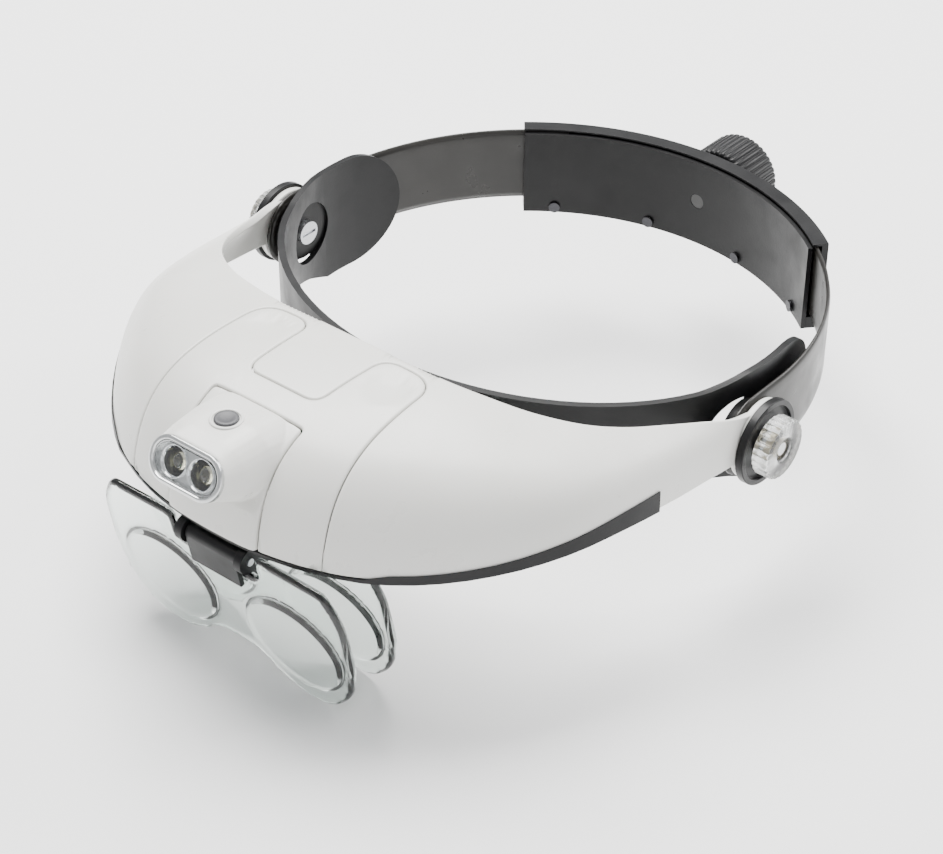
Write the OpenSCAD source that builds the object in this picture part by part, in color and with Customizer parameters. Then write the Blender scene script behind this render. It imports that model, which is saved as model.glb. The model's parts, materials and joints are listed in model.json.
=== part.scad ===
// Head visor magnifier: an adjustable headband that carries a tilting visor, a clip-on
// battery lamp and two flip-up lens plates. Millimetres, front at -Y, wearer's right at -X,
// origin at the centre of the head opening, half-way up the straps.

/* [Headband] */
// Half of the band's inside width at the temples
band_half_w = 85.8; // [85:0.1:86]
// Inside distance from the flex line forward to the forehead
band_front = 68.5; // [67:0.5:70]
// Thickness of the forehead band
band_t = 2.4; // [2:0.1:2.4]
// Height of the top edge of the forehead band
band_top = 16.4; // [14:0.2:17]
// Inside radius of the two straps
strap_r = 90; // [89.9:0.1:90.1]
// Thickness of a strap
strap_t = 1.5; // [1.2:0.1:1.5]
// Height of a strap
strap_h = 26; // [22:1:26]

/* [Rear size adjuster] */
// Half of the arc that the rear housing covers, in degrees
cover_half_angle = 41; // [38:1:44]
// Top of the rear housing
cover_top = 14; // [14:0.5:15]
// Bottom of the rear housing
cover_bottom = -17.5; // [-19:0.5:-17]
// Teeth on the pinion
pinion_teeth = 10; // [10:1:10]
// Radius of the ribbed size knob
rear_knob_r = 14; // [12:0.5:15]

/* [Visor] */
// Thickness of the visor shell
visor_t = 2.4; // [2.2:0.1:2.6]
// Distance of the tilt axis in front of the origin
pivot_fwd = 18.5; // [18:0.5:19]
// Radius of the round end of each visor arm
ear_r = 12.5; // [12.5:0.5:14]
// Radius of a side clamp knob
side_knob_r = 9.5; // [8.5:0.5:10.5]

/* [Lamp module] */
// Half width of the lamp hood
hood_half_w = 17; // [16.5:0.5:17.5]
// Diameter of an AAA cell
cell_d = 10.5; // [10.5:0.1:10.5]
// Length of an AAA cell
cell_l = 44.5; // [44.5:0.1:44.5]
// Distance between the two light-emitting diodes
led_gap = 10.2; // [10:0.1:10.5]
// Travel of the power button
button_travel = 1.2; // [0.8:0.1:1.4]

/* [Lenses] */
// Half width of a lens plate
plate_half_w = 47; // [46:0.5:49]
// Height of a lens plate
plate_h = 49; // [47:1:51]
// Distance between the two lens centres
lens_gap = 54; // [52:1:56]
// Thickness of the flat part of a lens plate
plate_t = 2.4; // [2:0.2:2.8]
// Lean of the lens plates, lower edge toward the face, in degrees
plate_lean = 11; // [8:1:13]

/* [Hidden] */
eps = 0.01;
flex_y = -5;                       // line where each strap flexes, and centre of the strap arc
band_bottom = -12.5;                // lower edge of the forehead band at the front
temple_end = 23;                   // rear end of the temple plates
temple_top = 18;
temple_bottom = -22;
temple_gap = 2.2;                  // room for the strap to flex inwards past the temple plate
tab_x = 90;                        // inner face of a strap tab
pivot = [-pivot_fwd, 0];           // Y and Z of the tilt axis
bolt_r = 2;
washer_t = 0.9;
arm_x = 92.6;                      // inner face of a visor arm
arm_t = 2.4;
cap_t = 2.6;
knob_t = 5.4;
cap_x = arm_x + arm_t + 0.1;
knob_x = cap_x + cap_t + 0.2;
channel_in = strap_r - 0.75;       // walls of the channel that the straps slide in
channel_out = strap_r + strap_t + 0.75;
cover_in = channel_in - 1.5;
cover_out = channel_out + 2.2;
cover_mid = -1.5;                  // height of the pinion axis
knob_l = 16;                       // length of the size knob
rack_pitch_r = 6;                  // pitch radius of the pinion
tooth_pitch = 2 * PI * rack_pitch_r / pinion_teeth;
rack_overlap = 18;                 // how far a rack bar runs past the middle
rack_start = 34;                   // where the full-height strap ends
lift_fit = 0.15;                   // gap between the lamp module and its recess
panel_t = 1.8;
seat_top = 2;                      // depth of the module seat under the visor's surface
seat_t = 2.2;
front_hinge = [-148, -8.5];        // Y and Z of the front lens hinge
rear_hinge = [-131, -8.5];         // Y and Z of the rear lens hinge
pin_r = 1.2;
flange_y = -141.6;                 // rear face of the bracket's flange, and its thickness and top
flange_t = 2.3;
flange_top = 5.7;
tray_x = 25.7;                     // battery tray: half width, front, length, bottom and height
tray_front = -135.2;
tray_len = 24.8;
tray_z = 8.5;
tray_h = 12.2;
board_z = tray_z + tray_h + 0.15;
cell_y = tray_front + 1.2 + 0.4 + cell_d / 2;
cell_z = tray_z + 0.5 + cell_d / 2;
door_t = 1.3;
lamp_y = -156.9;                   // centre of the lamp face, and its rake
lamp_z = 22.8;
lamp_rake = 27;
lamp_half_w = 13.5;
lamp_r = 6.9;
button_y = -141;
button_r = 3.6;
button_top = 31.2;
function deg(len) = len / strap_r * 180 / PI;

// ---------------------------------------------------------------- the visor's surface
// Stations from the middle of the visor to the round end of an arm: the rear edge, the
// control point of the soft crease, and the front or lower edge.
rear_edge = [[0, -88, 30.5], [16, -88, 30.5], [31, -87.5, 30], [45, -84.5, 28.5], [58, -79.5, 26],
    [70, -72, 23.5], [78, -62.5, 21], [83.5, -51, 18], [88, -40, 15], [92.5, -30, 12.5], [95, -22, 11]];
crease = [[0, -146, 34], [20, -144, 33.5], [39, -137, 31.5], [58, -126, 28], [74, -111, 24],
    [85, -94, 20.5], [90, -76, 16], [92.5, -59, 12.5], [94, -44, 10], [95, -32, 8], [95, -22, 5]];
front_edge = [[0, -150, -2], [21, -148.5, -2], [41, -142.5, -2], [59, -131, -2], [74, -115.5, -1],
    [85, -98, 1], [91, -79, 2], [93.5, -60, 0.8], [94.5, -44, -0.6], [95, -32, -2], [95, -22, -4]];
last_u = 10;
function mirror_x(p) = [-p[0], p[1], p[2]];
function station(list, i) = i < 0 ? mirror_x(list[-i]) : list[min(i, len(list) - 1)];
function spline(a, b, c, d, t) =
    0.5 * (2 * b + (c - a) * t + (2 * a - 5 * b + 4 * c - d) * t * t + (3 * b - a - 3 * c + d) * t * t * t);
function along(list, u) =
    let (i = min(floor(u), last_u - 1))
    spline(station(list, i - 1), station(list, i), station(list, i + 1), station(list, i + 2), u - i);
function section(t, k, b, v) =
    let (k1 = k + 0.32 * (t - k), k2 = k + 0.1 * (b - k), w = 1 - v)
    w * w * w * t + 3 * w * w * v * k1 + 3 * w * v * v * k2 + v * v * v * b;
function half_skin(u, v) = section(along(rear_edge, u), along(crease, u), along(front_edge, u), v);
function skin(u, v) = u < 0 ? mirror_x(half_skin(-u, v)) : half_skin(u, v);
function unit(p) = p / norm(p);
function skin_normal(u, v) =
    let (d = 0.02, u0 = max(u - d, -last_u), u1 = min(u + d, last_u), v0 = max(v - d, 0), v1 = min(v + d, 1))
    unit(cross(skin(u, v1) - skin(u, v0), skin(u1, v) - skin(u0, v)));
// Point under (negative) or over (positive) the visor's outer surface
function under(u, v, off) = skin(u, v) + off * skin_normal(u, v);

// A curved sheet of the visor between two depths
module sheet(u0, u1, nu, v0, v1, nv, top, bottom) {
    us = [for (i = [0:nu]) u0 + (u1 - u0) * i / nu];
    vs = [for (j = [0:nv]) v0 + (v1 - v0) * j / nv];
    m = nv + 1;
    n = (nu + 1) * m;
    points = concat([for (u = us) for (v = vs) under(u, v, top)], [for (u = us) for (v = vs) under(u, v, bottom)]);
    skins = [for (i = [0:nu - 1]) for (j = [0:nv - 1]) let (a = i * m + j)
        each [[a, a + m, a + m + 1], [a, a + m + 1, a + 1], [n + a, n + a + m + 1, n + a + m], [n + a, n + a + 1, n + a + m + 1]]];
    long_sides = [for (i = [0:nu - 1]) let (a = i * m, b = i * m + nv)
        each [[a, n + a, n + a + m], [a, n + a + m, a + m], [b, n + b + m, n + b], [b, b + m, n + b + m]]];
    short_sides = [for (j = [0:nv - 1]) let (a = j, b = nu * m + j)
        each [[a, n + a + 1, n + a], [a, a + 1, n + a + 1], [b, n + b, n + b + 1], [b, n + b + 1, b + 1]]];
    polyhedron(points, concat(skins, long_sides, short_sides));
}

// Plan outline of the clip-on lamp module: a panel with two ears at the back
module panel_outline(grow) {
    corner_r = 6.5;
    offset(r = -corner_r) offset(r = 2 * corner_r + grow) offset(r = -corner_r)
        polygon([[-37.5, -166], [-36.8, -146], [-34.5, -120], [-32.5, -91], [-14, -91], [-13.4, -119.5],
            [13.4, -119.5], [14, -91], [32.5, -91], [34.5, -120], [36.8, -146], [37.5, -166]]);
}

// ---------------------------------------------------------------- helpers
// Places children at the tilt axis on one side, with their Z axis pointing outwards
module at_pivot(side, x) {
    translate([side * x, pivot[0], pivot[1]]) rotate([0, side * 90, 0]) children();
}

// A wall that follows the strap arc, from one height to another, over an arc in degrees
module arc_wall(r0, r1, z0, z1, a0, a1) {
    translate([0, flex_y, z0]) rotate([0, 0, a0])
        rotate_extrude(angle = a1 - a0, $fn = 180) translate([r0, 0]) square([r1 - r0, z1 - z0]);
}

// Half of an ellipse, as a list of points
function half_ellipse(a, b, n = 48) = [for (i = [0:n]) [a * cos(180 + 180 * i / n), flex_y + b * sin(180 + 180 * i / n)]];

// ---------------------------------------------------------------- headband
module band_plan(r_in, r_out, b_in, b_out, y_end) {
    difference() {
        polygon(half_ellipse(r_out, b_out));
        polygon(half_ellipse(r_in, b_in));
    }
    intersection() {
        difference() {
            translate([0, flex_y]) circle(r_out, $fn = 180);
            translate([0, flex_y]) circle(r_in, $fn = 180);
        }
        translate([-100, flex_y - eps]) square([200, y_end - flex_y + eps]);
    }
}

// Side outline of the forehead band, widening to a round plate at the temple
module band_profile() {
    polygon([[-100, band_bottom], [-34, band_bottom], [-20, temple_bottom + 5], [-9, temple_bottom],
        [4, temple_bottom], [4, temple_top], [-14, temple_top], [-30, band_top], [-100, band_top]]);
    intersection() {
        translate([temple_end - 20, (temple_top + temple_bottom) / 2]) circle(20, $fn = 96);
        translate([-20, temple_bottom]) square([60, temple_top - temple_bottom]);
    }
}

module forehead_band() {
    color("#1c1c1e") difference() {
        union() {
            intersection() {
                translate([0, 0, -30])
                    linear_extrude(60)
                        band_plan(band_half_w, strap_r - temple_gap, band_front, band_front + band_t, temple_end);
                rotate([90, 0, 90]) translate([0, 0, -100]) linear_extrude(200) band_profile();
            }
            for (side = [-1, 1]) at_pivot(side, 85) cylinder(h = tab_x - 0.1 - 85, r = 10, $fn = 64);
        }
        for (side = [-1, 1]) {
            at_pivot(side, 70) cylinder(h = 40, r = bolt_r, $fn = 48);
            at_pivot(side, 70) cylinder(h = 86.6 - 70, r = 10.5, $fn = 64);
        }
    }
}

// Foam strip inside the forehead band
module forehead_pad() {
    pad_gap = 0.1;
    pad_t = 3;
    pad_bottom = -11;
    pad_h = 23;
    color("#26262a") intersection() {
        translate([0, 0, pad_bottom]) linear_extrude(pad_h) difference() {
            polygon(half_ellipse(band_half_w - pad_gap, band_front - pad_gap));
            polygon(half_ellipse(band_half_w - pad_gap - pad_t, band_front - pad_gap - pad_t));
        }
        translate([-62, -90, -20]) cube([124, 60, 40]);
    }
}

module strap_tab(side) {
    color("#3a3836") at_pivot(side, tab_x) difference() {
        union() {
            cylinder(h = strap_t, r = strap_h / 2, $fn = 96);
            translate([-strap_h / 2, 0, 0]) cube([strap_h, pivot_fwd + flex_y - 0.6, strap_t]);
        }
        translate([0, 0, -1]) cylinder(h = strap_t + 2, r = bolt_r, $fn = 48);
    }
}

module pivot_bolt(side) {
    head_x = 84.4;
    color("#b8bcc0") at_pivot(side, head_x) difference() {
        union() {
            cylinder(h = 86.6 - head_x, r = 4, $fn = 48);
            cylinder(h = knob_x + knob_t - 1 - head_x, r = bolt_r, $fn = 48);
        }
        translate([-0.5, -3, -eps]) cube([1, 6, 0.8]);
    }
}

module friction_washer(side) {
    color("#2e2e2e") at_pivot(side, tab_x + strap_t) difference() {
        cylinder(h = washer_t, r = 9, $fn = 64);
        translate([0, 0, -1]) cylinder(h = washer_t + 2, r = bolt_r + 0.05, $fn = 48);
    }
}

// ---------------------------------------------------------------- straps and rear size adjuster
// Side outline of a strap, in X and Z: full height at the side, then a rack bar that runs past
// the middle, above or below the pinion, with teeth on the edge that faces it
module strap_outline(level) {
    half_h = strap_h / 2;
    tip = cover_mid + level * 5.4;
    root = cover_mid + level * 7.3;
    full_x = strap_r * sin(deg(rack_start));
    end_x = -strap_r * sin(deg(rack_overlap));
    teeth = [for (i = [-4:4]) let (x = strap_r * sin(deg(i * tooth_pitch)))
        each [[x - 0.95, root], [x - 0.4, tip], [x + 0.4, tip], [x + 0.95, root]]];
    polygon(concat([[95, -level * half_h], [95, level * half_h], [end_x, level * half_h], [end_x, root]],
        teeth, [[full_x, root], [full_x, -level * half_h]]));
}

// Strap for the +X side; level says whether its rack runs above or below the pinion
module strap(level) {
    intersection() {
        arc_wall(strap_r, strap_r + strap_t, -strap_h, strap_h, 0.2, 90 + deg(rack_overlap + 4));
        translate([0, 100, 0]) rotate([90, 0, 0]) linear_extrude(120) strap_outline(level);
    }
}

module strap_right() {
    color("#3a3836") mirror([1, 0, 0]) strap(1);
}

module strap_left() {
    color("#3a3836") strap(-1);
}

module cover_screw_places() {
    for (a = [-34, -12, 12, 34])
        translate([0, flex_y, -15.4]) rotate([0, 0, 90 + a]) translate([cover_in, 0, 0]) rotate([0, 90, 0]) children();
}

module rear_cover_outer() {
    a0 = 90 - cover_half_angle;
    a1 = 90 + cover_half_angle;
    wall = cover_out - channel_out;
    color("#151517") difference() {
        union() {
            arc_wall(channel_out, cover_out, cover_bottom, cover_top, a0, a1);
            arc_wall(channel_in, channel_out + 0.5, strap_h / 2 + 0.3, cover_top, a0, a1);
            arc_wall(channel_in, channel_out + 0.5, cover_bottom, -strap_h / 2 - 0.3, a0, a1);
            translate([0, flex_y + cover_out - wall + 0.1, cover_mid]) rotate([-90, 0, 0])
                cylinder(h = wall + 4.4, r = 10, $fn = 64);
        }
        translate([0, flex_y + cover_in, cover_mid]) rotate([-90, 0, 0]) cylinder(h = 20, r = 3.05, $fn = 48);
        cover_screw_places() translate([0, 0, 1.4]) cylinder(h = 3, r = 1, $fn = 32);
    }
}

module rear_cover_inner() {
    color("#151517") difference() {
        arc_wall(cover_in, channel_in - 0.05, cover_bottom, cover_top - 1.2,
            90 - cover_half_angle, 90 + cover_half_angle);
        translate([0, flex_y + cover_in - 2, cover_mid]) rotate([-90, 0, 0]) cylinder(h = 5, r = 2.55, $fn = 48);
        cover_screw_places() translate([0, 0, -3]) cylinder(h = 6, r = 1, $fn = 32);
    }
}

module rear_cover_screws() {
    color("#8a8c90") cover_screw_places() {
        translate([0, 0, -0.1]) cylinder(h = 4.4, r = 1, $fn = 32);
        translate([0, 0, -0.9]) cylinder(h = 0.8, r = 1.9, $fn = 32);
    }
}

module pinion_outline() {
    polygon([for (i = [0:pinion_teeth - 1]) let (a = 90 + 360 / pinion_teeth * (i + 0.5), c = cos(a), s = sin(a))
        each [[4.8 * cos(a - 11.4), 4.8 * sin(a - 11.4)], [6.85 * c + 0.35 * s, 6.85 * s - 0.35 * c],
            [6.85 * c - 0.35 * s, 6.85 * s + 0.35 * c], [4.8 * cos(a + 11.4), 4.8 * sin(a + 11.4)],
            [4.8 * cos(a + 18), 4.8 * sin(a + 18)]]]);
}

// The pinion and its shaft; its local Z axis points to the rear
module pinion() {
    disc_z = channel_in + 0.5 - cover_in;
    color("#2e2e2e") translate([0, flex_y + cover_in, cover_mid]) rotate([-90, 0, 0]) difference() {
        union() {
            translate([0, 0, 0.1]) cylinder(h = disc_z + 0.9, r = 2.5, $fn = 48);
            translate([0, 0, disc_z]) linear_extrude(strap_t + 0.7) pinion_outline();
            translate([0, 0, disc_z + 1]) cylinder(h = cover_out - cover_in + 8.9 - disc_z - 1, r = 3, $fn = 48);
        }
        translate([0, 0, cover_out - cover_in + 3]) cylinder(h = 10, r = 1.25, $fn = 32);
    }
}

module rear_knob_place() {
    translate([0, flex_y + cover_out + 4.7, cover_mid]) rotate([-90, 0, 0]) children();
}

module rear_knob() {
    ribs = 36;
    color("#1a1a1c") rear_knob_place() difference() {
        union() {
            cylinder(h = knob_l, r = rear_knob_r - 0.7, $fn = 96);
            for (i = [0:ribs - 1]) rotate([0, 0, 360 / ribs * i])
                translate([rear_knob_r - 1.2, -0.55, 0.8]) cube([1.2, 1.1, knob_l - 1.8]);
        }
        translate([0, 0, -1]) cylinder(h = 5.3, r = 3, $fn = 48);
        cylinder(h = 20, r = 1.5, $fn = 32);
        translate([0, 0, knob_l - 4.5]) cylinder(h = 10, r = 3.2, $fn = 48);
    }
}

module rear_knob_screw() {
    head_z = knob_l - 4.5;
    color("#b8bcc0") rear_knob_place() difference() {
        union() {
            cylinder(h = head_z + 0.1, r = 1.25, $fn = 32);
            translate([0, 0, head_z]) cylinder(h = 1.6, r = 2.8, $fn = 48);
        }
        translate([-3, -0.4, head_z + 1]) cube([6, 0.8, 1]);
    }
}

// ---------------------------------------------------------------- visor
module visor_shell() {
    module_bay = [2 * tray_x + 0.8, 60, 60];
    color("#eceae4") difference() {
        union() {
            difference() {
                sheet(-last_u, last_u, 60, 0, 1, 12, 0, -visor_t);
                translate([0, 0, -20]) linear_extrude(80) panel_outline(lift_fit);
            }
            difference() {
                sheet(-2.6, 2.6, 16, 0.03, 0.98, 12, -seat_top, -seat_top - seat_t);
                translate([-tray_x - 0.4, tray_front + tray_len + 0.4 - module_bay[1], tray_z - 1.9]) cube(module_bay);
            }
            intersection() {
                sheet(-1.5, 1.5, 8, 0.4, 1, 12, -seat_top - 0.1, -9);
                translate([-12, flange_y - flange_t - 10, -1.9]) cube([24, 9.9, flange_top + 1.9]);
            }
            for (side = [-1, 1]) at_pivot(side, arm_x) cylinder(h = arm_t, r = ear_r, $fn = 96);
        }
        for (side = [-1, 1]) at_pivot(side, arm_x - 1) cylinder(h = arm_t + 2, r = bolt_r + 0.05, $fn = 48);
        bracket_screw_places() translate([0, 0, -1]) cylinder(h = 4.6, r = 1, $fn = 32);
    }
}

// Dark strip under the front edge, clear of the lamp module in the middle; toward each end it
// laps up the outside of the wall as a wedge
module visor_edge_trim() {
    steps = 40;
    reach = steps / 6;
    proud = 0.5;
    fit = 0.15;
    function place(i) = -reach + i / 3;
    function ramp(u, from) = min(1, max(0, 3 * (abs(u) - from)));
    function height(u) = 1 + 5.4 * pow(max(0, abs(u) - 1.5) / (reach - 1.5), 1.5);
    function wall_v(u) = height(u) / (2.7 * norm(along(crease, abs(u)) - along(front_edge, abs(u))));
    function corners(u) = let (
        out = ramp(u, 2), up = ramp(u, 2 + 1 / 3), v = 1 - up * wall_v(u),
        gap = 0.5 - 0.4 * out, drop = [0, 0, 1.5 - 0.9 * min(1, max(0, abs(u) - 2) / 2)],
        outer = -0.15 + (proud + 0.15) * out, inner = -0.3 + (fit + 0.3) * out, corner = -0.5 + (fit + 0.5) * out)
        [under(u, v, outer) - [0, 0, (1 - up) * gap], under(u, v, inner) - [0, 0, (1 - up) * (gap - 0.03)],
            under(u, 1, corner) - [0, 0, gap], under(u, 1, -1.6) - [0, 0, gap],
            under(u, 1, -1.6) - drop, under(u, 1, outer) - drop];
    walls = [for (i = [0:steps - 1]) for (k = [0:5]) let (a = 6 * i + k, b = 6 * i + (k + 1) % 6)
        each [[a, b, b + 6], [a, b + 6, a + 6]]];
    e = 6 * steps;
    color("#2a2c2c") polyhedron([for (i = [0:steps]) each corners(place(i))], concat(walls,
        [[0, 2, 1], [0, 5, 2], [2, 4, 3], [2, 5, 4]],
        [[e, e + 1, e + 2], [e, e + 2, e + 5], [e + 2, e + 3, e + 4], [e + 2, e + 4, e + 5]]));
}

// Dished black cap on the outside of a visor arm
module ear_cap(side) {
    color("#141416") at_pivot(side, cap_x) difference() {
        union() {
            cylinder(h = 1.2, r = ear_r + 1, $fn = 96);
            difference() {
                cylinder(h = cap_t, r = ear_r + 1, $fn = 96);
                translate([0, 0, -1]) cylinder(h = 6, r = ear_r - 0.8, $fn = 96);
            }
            cylinder(h = cap_t, r = 5, $fn = 64);
        }
        translate([0, 0, -1]) cylinder(h = 6, r = bolt_r + 0.05, $fn = 48);
    }
}

module side_knob(side) {
    ribs = 24;
    color("#e6e8e6") at_pivot(side, knob_x) difference() {
        union() {
            cylinder(h = knob_t, r = side_knob_r - 0.6, $fn = 96);
            for (i = [0:ribs - 1]) rotate([0, 0, 360 / ribs * i])
                translate([side_knob_r - 1.1, -0.6, 0.5]) cube([1.1, 1.2, knob_t - 1]);
        }
        translate([0, 0, -1]) cylinder(h = knob_t + 2, r = bolt_r + 0.1, $fn = 48);
        translate([0, 0, 1.4]) cylinder(h = knob_t, r = 3.6, $fn = 48);
    }
}

module knob_nut(side) {
    color("#c9a24a") at_pivot(side, knob_x + 1.4) difference() {
        cylinder(h = 3, r = 3.6, $fn = 48);
        translate([0, 0, -1]) cylinder(h = 6, r = bolt_r + 0.05, $fn = 48);
    }
}

// ---------------------------------------------------------------- lens bracket and plates
module bracket_screw_places() {
    for (side = [-1, 1]) translate([side * 9, flange_y, 1.5]) rotate([90, 0, 0]) children();
}

module lens_bracket() {
    top = front_hinge[1] + 4;
    color("#1d1e20") difference() {
        union() {
            for (side = [-1, 1]) hull() for (p = [front_hinge, rear_hinge])
                translate([side * 11.6 - 1.4, p[0], p[1]]) rotate([0, 90, 0]) cylinder(h = 2.8, r = 4, $fn = 32);
            translate([-13, flange_y - flange_t, top - 1.8]) cube([26, 8, 1.8]);
            translate([-11.5, flange_y - flange_t, top - 1.8]) cube([23, flange_t, flange_top - top + 1.8]);
        }
        for (p = [front_hinge, rear_hinge]) translate([-20, p[0], p[1]]) rotate([0, 90, 0])
            cylinder(h = 40, r = pin_r, $fn = 32);
        bracket_screw_places() translate([0, 0, -1]) cylinder(h = 8, r = 1, $fn = 32);
    }
}

module bracket_screws() {
    color("#8a8c90") bracket_screw_places() {
        translate([0, 0, -0.1]) cylinder(h = 3.6, r = 1, $fn = 32);
        translate([0, 0, -0.9]) cylinder(h = 0.8, r = 1.9, $fn = 32);
    }
}

module hinge_pin(place) {
    color("#b8bcc0") translate([-13.4, place[0], place[1]]) rotate([0, 90, 0]) cylinder(h = 26.8, r = pin_r, $fn = 32);
}

// Places children in a lens plate's own frame: X across, Y down the plate, Z toward the face
module on_plate(place) {
    translate([0, place[0], place[1]]) rotate([-90 + plate_lean, 0, 0]) children();
}

// Clip that turns on a hinge pin and grips a lens plate
module lens_clip(place) {
    color("#232426") on_plate(place) difference() {
        union() {
            translate([-9.8, 0, 0]) rotate([0, 90, 0]) cylinder(h = 19.6, r = 2.8, $fn = 48);
            translate([-9.8, 0, -2.8]) cube([19.6, 10, 5.6]);
        }
        translate([-20, 0, 0]) rotate([0, 90, 0]) cylinder(h = 40, r = pin_r + 0.05, $fn = 32);
        translate([-20, 4.5, -plate_t / 2 - 0.05]) cube([40, 10, plate_t + 0.1]);
    }
}

// Outline of a lens plate: two round lobes, a nose notch and a gap for the clip
module plate_outline() {
    lobe = lens_gap / 2;
    offset(r = -3) offset(r = 6) offset(r = -3) difference() {
        union() {
            for (side = [-1, 1]) hull() {
                translate([side * lobe, plate_h + 4 - 24]) circle(plate_half_w - lobe, $fn = 64);
                translate([side * (lobe + 7), 9]) circle(plate_half_w - lobe - 7, $fn = 48);
                translate([side * 20, 0]) square(8, center = true);
            }
            translate([-24, -4]) square([48, 40]);
        }
        translate([-16, -20]) square([32, 25]);
    }
}

module lens_plate(place) {
    relief = plate_half_w - lens_gap / 2 - 4;
    color([0.86, 0.93, 0.9, 0.55]) on_plate(place) {
        translate([0, 0, -plate_t / 2]) linear_extrude(plate_t) plate_outline();
        for (side = [-1, 1]) translate([side * (lens_gap / 2 - 1.5), plate_h - 24, -plate_t / 2 - 0.8])
            cylinder(h = plate_t + 1.6, r = relief, $fn = 96);
    }
}

// ---------------------------------------------------------------- clip-on lamp module
module hood_plan(grow) {
    translate([-hood_half_w - grow, -190]) square([2 * (hood_half_w + grow), 190 - 128.6 + grow]);
}

module module_panel() {
    dish_r = 28;
    color("#f0efea") difference() {
        intersection() {
            sheet(-3.3, 3.3, 22, 0.02, 1, 12, 0, -panel_t);
            translate([0, 0, -20]) linear_extrude(80) panel_outline(0);
        }
        translate([0, 0, -20]) linear_extrude(80) hood_plan(0.1);
        for (side = [-1, 1]) translate([side * 24, -99, 29.7 + dish_r]) sphere(r = dish_r, $fn = 120);
    }
}

// A slab with two round ends, standing on the XY plane
module stadium(half_w, r, h) {
    hull() for (side = [-1, 1]) translate([side * (half_w - r), 0, 0]) cylinder(h = h, r = r, $fn = 48);
}

// The rounded body of the lamp hood, drawn smaller by shrink for its hollow
module hood_shape(shrink) {
    hull() {
        lamp_place() translate([0, 0, shrink > 0 ? 1 : -1]) stadium(lamp_half_w - shrink, lamp_r - shrink, 1);
        translate([0, -149, 20.6]) rotate([90, 0, 0]) stadium(15.6 - shrink, 9.6 - shrink, 1);
        translate([0, -139.5, 20.4]) rotate([90, 0, 0]) stadium(16.6 - shrink, 10.2 - shrink, 1);
        translate([0, -128.7 - shrink, 19.6]) rotate([90, 0, 0]) stadium(hood_half_w - shrink, 9.9 - shrink, 1);
    }
}

// Lamp face: local Z points out of the lamp
module lamp_place() {
    translate([0, lamp_y, lamp_z]) rotate([90 - lamp_rake, 0, 0]) children();
}

module lamp_hood() {
    color("#f2f1ec") difference() {
        union() {
            difference() {
                hood_shape(0);
                sheet(-2.4, 2.4, 12, 0.1, 1, 14, -0.9, -20);
            }
            intersection() {
                sheet(-2, 2, 12, 0.1, 1, 14, 0, -panel_t);
                translate([0, 0, -20]) linear_extrude(80) hood_plan(0);
            }
            intersection() {
                sheet(-2, 2, 12, 0.5, 1, 12, 1.1, -panel_t);
                translate([-hood_half_w, -190, -1.9]) cube([2 * hood_half_w, 60, 14]);
            }
        }
        hood_shape(1.5);
        translate([0, button_y, 15]) cylinder(h = 30, r = button_r + 0.3, $fn = 64);
        translate([0, button_y, 30.2]) rotate_extrude($fn = 64) translate([4.6, 0]) square([0.5, 5]);
    }
}

module lamp_window() {
    color([0.9, 0.95, 0.98, 0.4]) lamp_place() translate([0, 0, 0.1]) stadium(lamp_half_w - 1.6, lamp_r - 1.6, 0.8);
}

module lamp_bezel() {
    color("#c8cac8") lamp_place() difference() {
        stadium(lamp_half_w, lamp_r, 1.2);
        translate([0, 0, -1]) stadium(lamp_half_w - 1.5, lamp_r - 1.5, 4);
    }
}

module led_places() {
    for (side = [-1, 1]) lamp_place() translate([side * led_gap / 2, 0, -8]) children();
}

module lamp_reflectors() {
    color("#dfe2e4") led_places() rotate_extrude($fn = 64)
        polygon([[2.65, 1], [3.2, 3], [4, 6], [4.3, 7.9], [3.9, 7.9], [3.2, 5], [2.65, 3]]);
}

module leds() {
    color("#fdf6d8") led_places() {
        cylinder(h = 4.2, r = 2.5, $fn = 48);
        translate([0, 0, 4.2]) sphere(r = 2.45, $fn = 48);
        cylinder(h = 0.9, r = 2.6, $fn = 48);
    }
}

// Open-bottomed tray with rails for a sliding door and two posts up to the panel
module battery_tray() {
    wall = 1.2;
    rail_z = tray_z - door_t - 1;
    inner = tray_x - wall;
    color("#e4e2dc") {
        difference() {
            translate([-tray_x, tray_front, tray_z]) cube([2 * tray_x, tray_len, tray_h]);
            translate([-inner, tray_front + wall, tray_z - 1]) cube([2 * inner, tray_len - 2 * wall, tray_h]);
        }
        for (side = [-1, 1]) {
            translate([side * (inner + wall / 2) - wall / 2, tray_front, rail_z]) cube([wall, tray_len, door_t + 1 + eps]);
            translate([side * (inner - 0.8 + eps) - 0.8, tray_front, rail_z]) cube([1.6, tray_len, 0.8]);
            translate([side * 22, tray_front + tray_len - 3, tray_z + tray_h - eps]) cylinder(h = 6.6, r = 1.8, $fn = 48);
        }
    }
}

module battery_cells() {
    color("#4d6a3c") for (i = [0, 1])
        translate([-cell_l / 2, cell_y + i * (cell_d + 0.4), cell_z]) rotate([0, 90, 0]) {
            cylinder(h = cell_l - 0.8, r = cell_d / 2, $fn = 96);
            translate([0, 0, cell_l - 0.9]) cylinder(h = 0.9, r = 2, $fn = 48);
        }
}

module battery_contacts() {
    color("#caa85a") for (i = [0, 1]) for (side = [-1, 1])
        translate([side * (tray_x - 1.75) - 0.15, cell_y + i * (cell_d + 0.4) - 3.5, cell_z - 3.5]) cube([0.3, 7, 7]);
}

module circuit_board() {
    color("#2e6b45") difference() {
        translate([-12, button_y - 5, board_z]) cube([24, 26, 1.2]);
        for (side = [-1, 1]) translate([side * 9, -123, board_z - 1]) cylinder(h = 4, r = 1.1, $fn = 32);
    }
}

module switch_body() {
    color("#202022") translate([-3, button_y - 3, board_z + 1.2]) cube([6, 6, 2.6]);
}

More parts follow.
